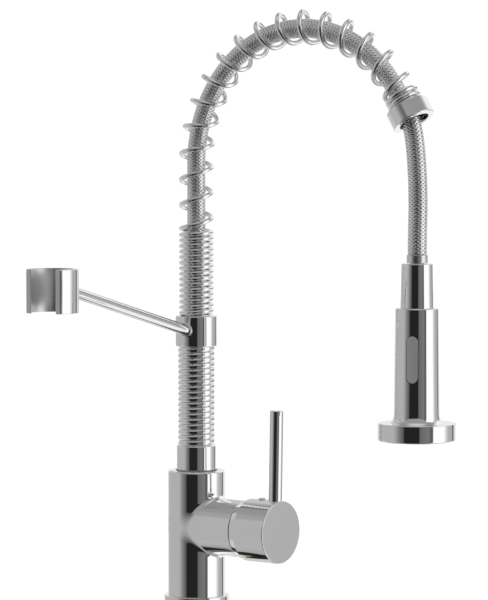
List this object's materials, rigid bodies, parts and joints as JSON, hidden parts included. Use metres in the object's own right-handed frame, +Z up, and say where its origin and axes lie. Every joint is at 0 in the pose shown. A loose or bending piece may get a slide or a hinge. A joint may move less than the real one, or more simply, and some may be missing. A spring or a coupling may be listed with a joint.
{
  "type": "pull down kitchen faucet",
  "caption": "Chrome kitchen faucet with a spring arch spout, pull-down spray head on a braided hose, swinging C-clip holder arm and side lever.",
  "frame": {"origin": "centre of the base on the deck plane, where the shank goes down through the deck", "axes": "+Z up along the column; +X from the column towards the lever and the hanging spray head at rest"},
  "size_m": [0.268, 0.2529, 0.5309],
  "materials": {
    "chrome": "polished chrome plate",
    "brass": "machined brass",
    "rubber": "matte rubber",
    "white_plastic": "moulded acetal",
    "grey_plastic": "satin grey",
    "dark_plastic": "fine satin",
    "steel": "turned steel",
    "braided_steel": "woven stainless wire"
  },
  "bodies": {
    "base": {"deck_gasket": "rubber", "base_ring": "chrome", "body_shell": "chrome", "mounting_shank": "brass", "water_core": "brass", "core_o_ring": "rubber", "swivel_bush": "white_plastic", "slip_washer": "white_plastic", "cartridge_body": "white_plastic", "cartridge_seal": "rubber", "cartridge_nut": "brass", "bonnet_dome": "chrome"},
    "nut_stack": {"counter_gasket": "rubber", "clamp_washer": "steel", "mounting_nut": "brass"},
    "mixer": {"cartridge_rotor": "white_plastic"},
    "handle": {"cartridge_stem": "steel", "handle_cap": "chrome", "lever_rod": "chrome", "handle_grub_screw": "steel", "index_plug": "chrome"},
    "spout": {"swivel_spigot": "brass", "swivel_o_rings": "rubber", "spout_clip": "steel", "neck_ring": "chrome", "column_tube": "chrome", "lower_spring": "chrome", "hose_tail_nut": "brass", "hose_arch": "braided_steel", "arch_spring": "chrome", "end_ferrule": "chrome", "ferrule_liner": "dark_plastic", "hose_drop": "braided_steel"},
    "holder": {"holder_collar": "chrome", "holder_bush": "white_plastic", "collar_grub_screw": "steel", "rod_seat_ring": "chrome", "holder_rod": "chrome", "holder_clip": "chrome"},
    "hose_end": {"hose_crimp": "chrome", "hose_fitting": "brass", "spindle_o_ring": "rubber"},
    "spray_head": {"spray_neck": "chrome", "swivel_seat": "white_plastic", "check_valve": "dark_plastic", "spray_body": "chrome", "diverter_valve": "white_plastic", "flow_sleeve": "white_plastic", "spray_bell": "chrome", "nozzle_plate": "dark_plastic", "spray_nozzles": "rubber", "aerator": "dark_plastic", "button_pin": "steel"},
    "button": {"spray_button": "grey_plastic"},
    "spool": {"diverter_spool": "dark_plastic"}
  },
  "joints": [
    {"name": "nut_travel", "type": "slide", "parent": "base", "child": "nut_stack", "axis": [0, 0, -1], "range_m": [0, 0.06]},
    {"name": "handle_turn", "type": "hinge", "parent": "base", "child": "mixer", "pos_m": [0.04, 0, 0.0636], "axis": [1, 0, 0], "range_deg": [-50, 50]},
    {"name": "handle_tilt", "type": "hinge", "parent": "mixer", "child": "handle", "pos_m": [0.04, 0, 0.0636], "axis": [0, 1, 0], "range_deg": [0, 20]},
    {"name": "spout_swivel", "type": "hinge", "parent": "base", "child": "spout", "pos_m": [0, 0, 0.1], "axis": [0, 0, 1], "continuous": true},
    {"name": "holder_swing", "type": "hinge", "parent": "spout", "child": "holder", "pos_m": [0, 0, 0.2175], "axis": [0, 0, 1], "range_deg": [-266, 70]},
    {"name": "spray_pull", "type": "slide", "parent": "spout", "child": "hose_end", "axis": [0, 0, -1], "range_m": [0, 0.2], "stiffness_N_per_m": 60, "springref_m": -0.25, "deforming": ["hose_drop"]},
    {"name": "spray_swivel", "type": "hinge", "parent": "hose_end", "child": "spray_head", "pos_m": [0.211, 0, 0.27], "axis": [0, 0, 1], "continuous": true},
    {"name": "button_rock", "type": "hinge", "parent": "spray_head", "child": "button", "pos_m": [0.21669, -0.01409, 0.205], "axis": [0.9272, 0.3746, 0], "range_deg": [-4, 4]},
    {"name": "spool_slide", "type": "slide", "parent": "spray_head", "child": "spool", "axis": [0, 0, 1], "range_m": [-0.0012, 0.0012]}
  ],
  "couplings": [
    {"joint": "button_rock", "follows": "spool_slide", "rad_per_m": 58}
  ]
}
